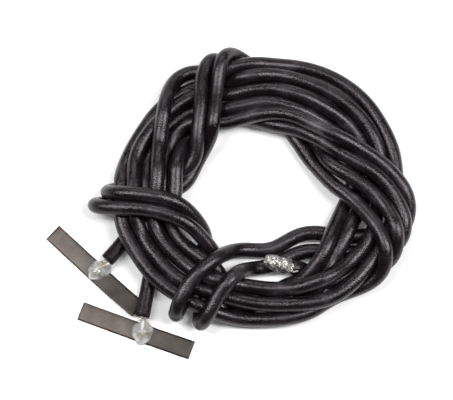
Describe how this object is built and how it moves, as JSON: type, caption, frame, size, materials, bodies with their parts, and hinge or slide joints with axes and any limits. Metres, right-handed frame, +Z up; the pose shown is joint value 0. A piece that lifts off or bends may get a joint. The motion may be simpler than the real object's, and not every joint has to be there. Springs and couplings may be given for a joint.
{
  "type": "soil moisture sensor",
  "caption": "pair of rubber-insulated leads coiled into a hank, each with a thin metal electrode strip soldered crosswise on one end and a tinned bare tip on the other",
  "frame": {"origin": "on the plane that the part lies on, midway between the two electrode strips", "axes": "+Z up from the plane, +X towards the hank's right side, +Y away from the viewer of the coiled part; the hank lies to +X and +Y of the electrodes"},
  "size_m": [0.0971, 0.0811, 0.0114],
  "materials": {
    "electrode_metal": "satin rolled metal strip, faintly mottled, sheared edges",
    "solder": "bright smeared solder with flux residue",
    "tinned_copper": "stranded copper coated in dull solder",
    "black_rubber": "soft black rubber insulation with a slight sheen"
  },
  "bodies": {
    "root": {"electrode_a": "electrode_metal", "electrode_b": "electrode_metal", "solder_joint_a": "solder", "solder_joint_b": "solder", "lead_a_conductor": "tinned_copper", "lead_b_conductor": "tinned_copper", "lead_a_insulation": "black_rubber", "lead_b_insulation": "black_rubber", "hank": "black_rubber", "lead_a_left_wrap": "black_rubber", "lead_b_left_wrap": "black_rubber", "lead_a_top_wrap": "black_rubber", "lead_b_top_wrap": "black_rubber", "lead_a_right_wrap": "black_rubber", "lead_b_right_wrap": "black_rubber", "lead_a_bottom_wrap": "black_rubber", "lead_b_bottom_wrap": "black_rubber", "lead_a_tail_insulation": "black_rubber", "lead_b_tail_insulation": "black_rubber", "tinned_tip_a": "tinned_copper", "tinned_tip_b": "tinned_copper"}
  },
  "joints": []
}
